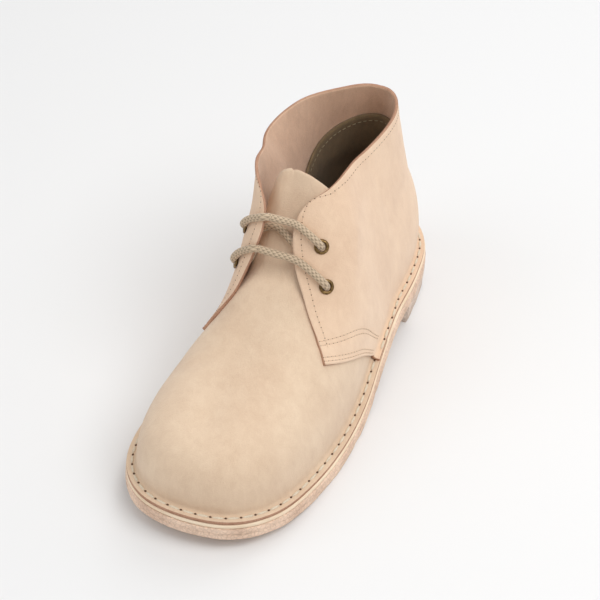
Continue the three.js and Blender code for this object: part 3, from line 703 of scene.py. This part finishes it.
def makeQuarters():
    def face(place, up):
        return quarterStand(place, up) + upper["quarterWall"]

    def shape(across, level):
        row = np.minimum(across, 1 - across) * 2 * quarterEnd
        sign = np.where(across <= 0.5, 1.0, -1.0)
        foot = sign * column(quarterRows["foot"], row)
        along = sign * column(quarterRows["along"], row)
        bow = quarters["bow"] * (1 - smooth(row / quarters["bowRows"]))
        top = column(quarterRows["up"], row)
        points, at, up, low = onSheet(foot, along, top, level, face, quarters["flange"], bow)
        points = evened(points, row)
        relief = undulation(points, quarters["waves"]) - seamTrough(at, up)
        relief = np.where(low, 0, relief * ramp(up, *quarters["plainBelow"]))
        return points + lastNormal(at, up) * relief[:, None]

    bm = bmesh.new()
    gridMesh(bm, quarters["columns"], quarters["rows"], shape)
    turnTowards(bm, insideBoot)
    piece = asPiece(bm, "quarters", [quarterSuede, fleshSide, cutEdge], ("upper",))
    thicken(piece, upper["quarterWall"], 1, 2)
    return piece


lining = {
    "start": 0.60, "wall": 0.9, "gap": 0.25, "lift": 3.5, "columns": 120, "rows": 26,
    "top": [0.2, 0.33, 0.43, 0.49, 0.52, 0.53],
}


def liningTop(place):
    away = np.abs(wrap(place))
    return column(lining["top"], (away - lining["start"]) / (1 - lining["start"]) * (len(lining["top"]) - 1))


def makeLining():
    def shape(across, share):
        place = mix(lining["start"], 2 - lining["start"], across)
        up = mix(upAtLift(place, lining["lift"]), liningTop(place), share)
        return offLast(place, up, quarterStand(place, up) - lining["gap"])

    bm = bmesh.new()
    gridMesh(bm, lining["columns"], lining["rows"], shape)
    turnTowards(bm, insideBoot)
    piece = asPiece(bm, "counterLining", [counterLining], ())
    thicken(piece, lining["wall"])
    return piece


# stitches

def stitchRow(points, normals, thread):  # a stitch, then the hole after it
    steps = np.linalg.norm(np.diff(points, axis=0), axis=1)
    run = np.concatenate([[0], np.cumsum(steps)])
    count = max(int(run[-1] / thread["pitch"]), 1)
    at = (np.arange(2 * count) + 1) * run[-1] / (2 * count)

    def along(distance, values):
        return np.stack([np.interp(distance, run, values[:, k]) for k in range(3)], -1)

    tangent = unit(along(at + 0.5, points) - along(at - 0.5, points))
    normal = along(at, normals)
    normal = unit(normal - tangent * (tangent * normal).sum(-1, keepdims=True))
    kind = np.arange(2 * count) % 2
    size = np.where(kind[:, None] == 0, thread["stitch"], thread["hole"])
    return along(at, points), tangent, normal, size, kind


# the holes' balls take the second material, a dark colour that paints the shade of the empty holes
def stitchPiece(name, rows, materials):  # every stitch and hole is one small ball, stretched
    small = bmesh.new()
    bmesh.ops.create_uvsphere(small, u_segments=8, v_segments=6, radius=0.5)
    template = bpy.data.meshes.new(name + "One")
    small.to_mesh(template)
    small.free()
    ball = np.array([v.co[:] for v in template.vertices])
    at, tangent, normal, size, kind = [np.concatenate(part) for part in zip(*rows)]
    axes = np.stack([tangent, np.cross(normal, tangent), normal], 1)
    points = at[:, None] + np.einsum("vk,nk,nkc->nvc", ball, size, axes)
    bm = bmesh.new()
    for _ in at:
        bm.from_mesh(template)
    for v, p in zip(bm.verts, toFrame(points.reshape(-1, 3))):
        v.co = p
    for i, face in enumerate(bm.faces):
        face.smooth = True
        face.material_index = int(kind[i // len(template.polygons)])
    bpy.data.meshes.remove(template)
    return asPiece(bm, name, materials, ())


welt = {
    "ends": {"vamp": (-0.533, 0.533), "quarter": (0.549, 1.451)}, "samples": 700, "out": 0.35, "lift": 0.12,
    "quarterLift": 0.1, "pitch": 8.2, "stitch": (6.9, 1.7, 1.15), "hole": (1.5, 1.3, 0.9),
}


def makeWeltStitches():
    rows = []
    for name, (start, end) in welt["ends"].items():
        place = np.linspace(start, end, welt["samples"])
        face = np.full_like(place, upper["vampWall"])
        if name == "quarter":
            face += lapShare(place, 0 * place) * upper["vampWall"] + welt["quarterLift"]
        points = besideEdge(place, face + upper["bend"] + welt["out"], face + welt["lift"])
        rows.append(stitchRow(points, np.tile([0.0, 0.0, 1.0], (len(place), 1)), welt))
    return stitchPiece("weltStitches", rows, [weltThread, needleHole])


def seated(piece, points, normals, sink):  # points and normals moved on to a piece's surface
    mesh = piece.data
    tree = BVHTree.FromPolygons([v.co for v in mesh.vertices], [p.vertices for p in mesh.polygons])
    found = [tree.find_nearest(p) for p in toFrame(points)]
    normal = np.array([f[1][:] for f in found])
    normal *= np.sign((normal * normals).sum(-1, keepdims=True))
    at = np.array([f[0][:] for f in found]) / mm + frameMiddle
    return at - normal * sink, normal


seam = {
    "samples": 200, "below": 0.26, "sink": 0.02, "pitch": 2.9, "stitch": (2.3, 0.7, 0.55),
    "hole": (0.6, 0.6, 0.3),
}
topline = {
    "start": 0.35, "samples": 900, "throatInset": 0.05, "collarInset": 0.03, "insetTurn": (4, 7),
    "sink": 0.02, "pitch": 3.1, "stitch": (2.2, 0.6, 0.4), "hole": (0.7, 0.7, 0.35),
}


def makeSeamStitches(piece):
    rows = []
    for sign in (1, -1):
        for line in seamLines:
            place, up = seamPath(line, seam["samples"])
            place = sign * place
            over = onQuarter(place, up, upper["quarterWall"] - seam["below"])
            rows.append(stitchRow(*seated(piece, over, lastNormal(place, up), seam["sink"]), seam))
    row = np.linspace(topline["start"], 2 * quarterEnd - topline["start"], topline["samples"])
    near = np.minimum(row, 2 * quarterEnd - row)
    foot, along, top = [column(quarterRows[key], near) for key in ("foot", "along", "up")]
    up = top - mix(topline["throatInset"], topline["collarInset"], ramp(near, *topline["insetTurn"]))
    place = np.where(row <= quarterEnd, 1, -1) * mix(foot, along, up / top)
    over = onQuarter(place, up, upper["quarterWall"])
    rows.append(stitchRow(*seated(piece, over, lastNormal(place, up), topline["sink"]), topline))
    return stitchPiece("seamStitches", rows, [seamThread, needleHole])


liningSeam = {
    "margin": 0.02, "inset": 0.03, "samples": 500, "pitch": 3.4, "stitch": (2.6, 0.8, 0.6),
    "hole": (0.6, 0.6, 0.3),
}


def makeLiningStitches():
    start = lining["start"] + liningSeam["margin"]
    place = np.linspace(start, 2 - start, liningSeam["samples"])
    up = liningTop(place) - liningSeam["inset"]
    points = offLast(place, up, quarterStand(place, up) - lining["gap"] - lining["wall"])
    rows = [stitchRow(points, -lastNormal(place, up), liningSeam)]
    return stitchPiece("liningStitches", rows, [liningThread, needleHole])


# sole

sole = {"gap": 0.3, "midsoleThick": 3.0}
crepe = {
    "stretch": (1, 1, 1.6), "fine": 2.6, "fineSeed": 4.0, "fineShare": 0.6, "broad": 7.0, "broadSeed": 8.0,
    "underRow": 1.6, "underShare": 1.1, "underStretch": (1, 1, 0.1), "under": 3.2, "underSeed": 1.0,
    "sideOnly": 40,
}


def soleShape(layer, heightAt, ends):  # the layer's side from the bottom up, with a face below and one above
    depths, outs = np.array(layer["side"]).T
    count, cap = len(depths) - 1, layer["capRows"]

    def shape(across, level):
        place = mix(*ends, across)
        row = level * (count + 2 * cap)
        lateral = np.where(row < cap, 0.5 - 0.5 * row / cap,
                           np.where(row > count + cap, 0.5 * (row - count - cap) / cap, 0))
        ring = np.clip(row - cap, 0, count)
        out = layer["out"] + np.interp(ring, np.arange(count + 1), outs)
        here, there = [bottomEdge(way) + outward(way) * out[:, None] for way in (place, -place)]
        flat = mix(here, there, lateral[:, None])
        height = heightAt(flat[:, 1], np.interp(ring, np.arange(count + 1), depths))
        points = np.concatenate([flat, height[:, None]], -1)
        side = smooth(1 - lateral * crepe["sideOnly"])
        fine = bumpy(points * np.array(crepe["stretch"]), crepe["fine"], crepe["fineSeed"])
        wear = crepe["fineShare"] * fine + bumpy(points, crepe["broad"], crepe["broadSeed"])
        wear *= layer["rough"] * side * np.sin(math.pi * ring / count) ** 0.5
        points[:, :2] += outward(place) * wear[:, None]
        low = side * (ring < crepe["underRow"]) * (ring > 0)
        under = np.abs(bumpy(points * np.array(crepe["underStretch"]), crepe["under"], crepe["underSeed"]))
        points[:, 2] += low * layer["rough"] * crepe["underShare"] * under
        return points
    return shape


def makeSoleLayer(name, layer, material, node, heightAt=None, ends=(-1.0, 1.0)):
    def underSeat(along, depth):
        return seatHeight(along) - layer["top"] - depth

    bm = bmesh.new()
    rows = len(layer["side"]) - 1 + 2 * layer["capRows"]
    gridMesh(bm, layer["columns"], rows, soleShape(layer, heightAt or underSeat, ends))
    closeMesh(bm, fill=heightAt is not None)
    return asPiece(bm, name, [material], (node,))


# each side lists depths under the layer's top, each with how far it stands out past the layer's own edge
insole = {
    "out": 0.0, "top": 0.0, "rough": 0.0, "columns": 260, "capRows": 5,
    "side": [(0.0, -0.7), (-1.5, -0.6), (-2.6, -0.9), (-3.0, -1.6)],
}
midsole = {
    "out": 7.9, "top": sole["gap"], "rough": 0.05, "columns": 380, "capRows": 3,
    "side": [(sole["midsoleThick"], -0.5), (2.6, 0.0), (1.5, 0.05), (0.4, 0.0), (0.0, -0.5)],
}
outsole = {
    "out": 8.5, "top": sole["midsoleThick"] + 2 * sole["gap"], "rough": 0.35, "columns": 620, "capRows": 3,
    "side": [(8.5, -1.4), (8.25, -0.7), (7.6, -0.15), (6.6, 0.0), (5.4, 0.0), (4.6, -0.05), (4.1, -0.5),
             (3.6, -0.1), (2.8, 0.0), (1.6, -0.05), (0.5, -0.25), (0.0, -0.7)],
}
heel = {  # here heights over the floor
    "out": 8.5, "breast": 205.0, "rough": 0.3, "columns": 260, "capRows": 3,
    "side": [(0.0, -2.4), (0.3, -1.7), (1.2, -1.2), (4.0, -0.9), (7.0, -0.6), (10.0, -0.3), (12.6, -0.05),
             (13.6, -0.4)],
}


def breastPlace():  # the place whose bottom edge lies as far back as the heel's breast
    ahead, behind = 0.4, 1.0
    for _ in range(40):
        half = (ahead + behind) / 2
        if bottomEdge(half)[1] < heel["breast"]:
            ahead = half
        else:
            behind = half
    return ahead


def makeSole():
    makeSoleLayer("midsoleLayer", midsole, midsoleRubber, "midsole")
    makeSoleLayer("crepeOutsole", outsole, outsoleRubber, "outsole")
    makeSoleLayer("insoleSock", insole, insoleLeather, "insole")
    breast = breastPlace()
    makeSoleLayer("heelBlock", heel, heelRubber, "heel", lambda along, height: height,
                  (breast, 2 - breast))


# eyelets and lace

eyelet = {
    "outer": 4.3, "hole": 2.5, "barrel": 3.0, "foot": 0.2, "lift": 0.1, "steps": 48,
    "inner": [(0.0, 0.45), (0.15, 0.8), (0.55, 1.0)],  # out from the hole, up from the suede
    "rim": [(-0.9, 0.92), (-0.3, 0.6), (0.0, 0.15), (-0.1, 0.0)],  # out from the rim's edge, and up
    "rows": {"lower": (0.473, 0.621), "upper": (0.495, 0.7)},
}
agedBrass = brassMaterial()


def makeEyelet(name, place, up):
    seat = upper["quarterWall"] + eyelet["lift"]
    profile = [(eyelet["hole"], eyelet["foot"])]
    profile += [(eyelet["hole"] + out, seat + rise) for out, rise in eyelet["inner"]]
    profile += [(eyelet["outer"] + out, seat + rise) for out, rise in eyelet["rim"]]
    profile += [(eyelet["barrel"], seat), (eyelet["barrel"], eyelet["foot"])]
    bm = bmesh.new()
    verts = [bm.verts.new((r * mm, 0, z * mm)) for r, z in profile]
    edges = [bm.edges.new((verts[i - 1], verts[i])) for i in range(len(verts))]
    bmesh.ops.spin(bm, geom=verts + edges, cent=(0, 0, 0), axis=(0, 0, 1), angle=2 * math.pi,
                   steps=eyelet["steps"], use_merge=True)
    closeMesh(bm)
    place, up = np.array(place), np.array(up)
    turned = Vector(quarterNormal(place, up)).to_track_quat("Z", "Y").to_matrix().to_4x4()
    at = toFrame(onQuarter(place, up, np.array(0.0)))
    bmesh.ops.transform(bm, verts=bm.verts, matrix=Matrix.Translation(at) @ turned)
    for face in bm.faces:
        face.smooth = True
    return asPiece(bm, name + "Ring", [agedBrass], (name,))


lace = {
    "radius": 2.2, "columns": 1700, "sides": 40, "strands": 5, "pitch": 3.0, "relief": 0.3, "over": 0.15,
    "endShare": 0.005, "evenOver": 9, "samples": 4000,
}


def laceRoute():
    r = lace["radius"]
    wall = upper["quarterWall"]
    onTongue = upper["vampWall"] - upper["tongueSink"] + r + lace["over"]
    low, high = eyelet["rows"]["lower"], eyelet["rows"]["upper"]

    def at(place, up, distance):
        return onQuarter(np.array(place), np.array(up), np.array(distance))

    def under(place, up):  # on the tongue
        return offLast(np.array(place), np.array(up), np.array(onTongue))

    def bar(row, edge):  # from inside the inner eyelet, over the throat, into the outer one
        place, up = row
        half = mix(up, edge, 0.5)
        rising = [(up, -1.6), (up, 1.3), (up + 0.02, wall + 2.4), (half, wall + r), (edge, wall + 0.95 * r),
                  (edge + 0.018, 0.5 * wall + 0.75 * r), (edge + 0.026, 0.4 * wall - 0.4 * r)]
        falling = [(edge - 0.012, wall + 0.98 * r), (half, wall + r + 0.1), (up + 0.028, wall + 2.5),
                   (up, 1.3), (up, -1.6)]
        inner = [at(-place, *point) for point in rising]
        outer = [at(place, *point) for point in falling]
        return inner + [mix(inner[-1], outer[0], 0.45) + np.array([0.0, -0.4, 0.4])] + outer

    tucked = [under(-0.486, 0.655), under(-0.482, 0.645), under(-0.477, 0.632)]
    diagonal = [under(0.4745, 0.68), under(0.478, 0.78), under(0.482, 0.9), under(0.486, 0.999),
                under(-0.489, 0.9), under(-0.492, 0.8), under(-0.494, 0.74)]
    ended = [under(0.4965, 0.69), under(0.499, 0.68), under(0.503, 0.665)]
    return np.array(tucked + bar(low, 0.86) + diagonal + bar(high, 0.9) + ended)


def alongRoute(points, count):
    ends = np.vstack([2 * points[0] - points[1], points, 2 * points[-1] - points[-2]])
    gaps = np.linalg.norm(np.diff(points, axis=0), axis=1)
    run = np.concatenate([[0], np.cumsum(gaps)])
    distance = np.linspace(0, run[-1], lace["samples"])
    i = np.clip(np.searchsorted(run, distance, side="right") - 1, 0, len(points) - 2)
    fine = spline(ends[i], ends[i + 1], ends[i + 2], ends[i + 3], ((distance - run[i]) / gaps[i])[:, None])
    run = np.concatenate([[0], np.cumsum(np.linalg.norm(np.diff(fine, axis=0), axis=1))])
    even = np.linspace(0, run[-1], count)
    fine = np.stack([np.interp(even, run, fine[:, k]) for k in range(3)], -1)
    width = lace["evenOver"]
    padded = np.vstack([np.repeat(fine[:1], width, 0), fine, np.repeat(fine[-1:], width, 0)])
    kernel = np.ones(2 * width + 1) / (2 * width + 1)
    return np.stack([np.convolve(padded[:, k], kernel, "valid") for k in range(3)], -1), run[-1]


def makeLace():
    line, length = alongRoute(laceRoute(), lace["columns"] + 1)
    tangent = unit(np.gradient(line, axis=0))
    side = np.zeros_like(tangent)
    across = np.cross(tangent[0], [0, 0, 1.0])
    for i, ahead in enumerate(tangent):
        across = unit(across - ahead * np.dot(across, ahead))
        side[i] = across
    over = np.cross(tangent, side)
    braid = {}

    def shape(across, around):
        i = np.rint(across * lace["columns"]).astype(int)
        angle = around * 2 * math.pi
        turn, along = lace["strands"] * angle, across * length / lace["pitch"] * 2 * math.pi
        onTop = smooth(0.5 + 2 * np.sin(turn) * np.sin(along))
        strands = [np.abs(np.cos((turn + sign * along) / 2 + math.pi / 4)) for sign in (-1, 1)]
        weave = mix(strands[0], strands[1], onTop)
        braid["value"] = weave
        radius = lace["radius"] - lace["relief"] + lace["relief"] * weave
        pastEnd = np.clip(np.abs(across - 0.5) - 0.5 + lace["endShare"], 0, 1) / lace["endShare"]
        radius = radius * np.sqrt(np.clip(1 - pastEnd ** 2, 0.02, 1))
        outwards = side[i] * np.cos(angle)[:, None] + over[i] * np.sin(angle)[:, None]
        return line[i] + outwards * radius[:, None]

    bm = bmesh.new()
    gridMesh(bm, lace["columns"], lace["sides"], shape)
    # the weave's relief is stored on the vertices for the material's painted shade in the hollows and
    # painted highlight on the crowns
    mark = bm.verts.layers.float.new("braid")
    for v, value in zip(bm.verts, braid["value"]):
        v[mark] = value
    closeMesh(bm, fill=True)
    print("lace length", round(length), "mm")
    return asPiece(bm, "laceBraided", [braidMaterial()], ("lace_lower", "lace_upper"))


makeVamp()
quarterPiece = makeQuarters()
makeLining()
makeWeltStitches()
makeSeamStitches(quarterPiece)
makeLiningStitches()
makeSole()
for rowName, (place, up) in eyelet["rows"].items():
    makeEyelet("eyelet_outer_" + rowName, place, up)
    makeEyelet("eyelet_inner_" + rowName, -place, up)
makeLace()

# studio

view = {  # angles in degrees, distances in metres, the photo's focal length in its own pixels
    "azimuth": 22.5, "elevation": 41.5, "roll": 0.6, "distance": 1.0, "target": (0.0049, 0.0, 0.06),
    "focal": 1510.0, "photoWidth": 600, "closer": 1.16,
}


def makeCamera():
    around, above, roll = [math.radians(view[key]) for key in ("azimuth", "elevation", "roll")]
    level = math.cos(above)
    back = Vector((math.sin(around) * level, -math.cos(around) * level, math.sin(above)))
    camera = bpy.data.objects.new("camera", bpy.data.cameras.new("camera"))
    bpy.context.scene.collection.objects.link(camera)
    camera.data.lens = camera.data.sensor_width * view["focal"] / view["photoWidth"] * view["closer"]
    camera.location = Vector(view["target"]) + back * view["distance"]
    camera.rotation_mode = "QUATERNION"
    rolled = Matrix.Rotation(roll, 4, "Z").to_quaternion()
    camera.rotation_quaternion = (-back).to_track_quat("-Z", "Y") @ rolled
    bpy.context.scene.camera = camera


floorSize = 3.0
paperTone = 0.82
studioLights = {  # place, size in metres, power in watts
    "key": ((0.75, -0.1, 1.25), 0.9, 9.5),
    "fill": ((-0.9, -0.7, 1.1), 1.2, 4.0),
    "back": ((0.1, 1.1, 1.2), 0.9, 6.0),
}
skyLight = 0.56


def makeFloor():
    bm = bmesh.new()
    bmesh.ops.create_grid(bm, x_segments=8, y_segments=8, size=floorSize)
    mesh = bpy.data.meshes.new("floor")
    bm.to_mesh(mesh)
    bm.free()
    floor = bpy.data.objects.new("floor", mesh)
    mesh.materials.append(plainMaterial("palePaper", (paperTone, paperTone, paperTone, 1), 0.9))
    bpy.context.scene.collection.objects.link(floor)


def makeLights():
    world = bpy.data.worlds.new("studio")
    bpy.context.scene.world = world
    world.use_nodes = True
    background = world.node_tree.nodes["Background"]
    background.inputs["Color"].default_value = (1, 1, 1, 1)
    background.inputs["Strength"].default_value = skyLight
    for name, (place, size, power) in studioLights.items():
        light = bpy.data.lights.new(name, "AREA")
        light.size = size
        light.energy = power
        lamp = bpy.data.objects.new(name, light)
        lamp.location = place
        lamp.rotation_mode = "QUATERNION"
        lamp.rotation_quaternion = (Vector((0, 0, 0.05)) - Vector(place)).to_track_quat("-Z", "Y")
        bpy.context.scene.collection.objects.link(lamp)


makeCamera()
makeFloor()
makeLights()
bpy.context.scene.view_settings.view_transform = "Standard"
print("studio ready")
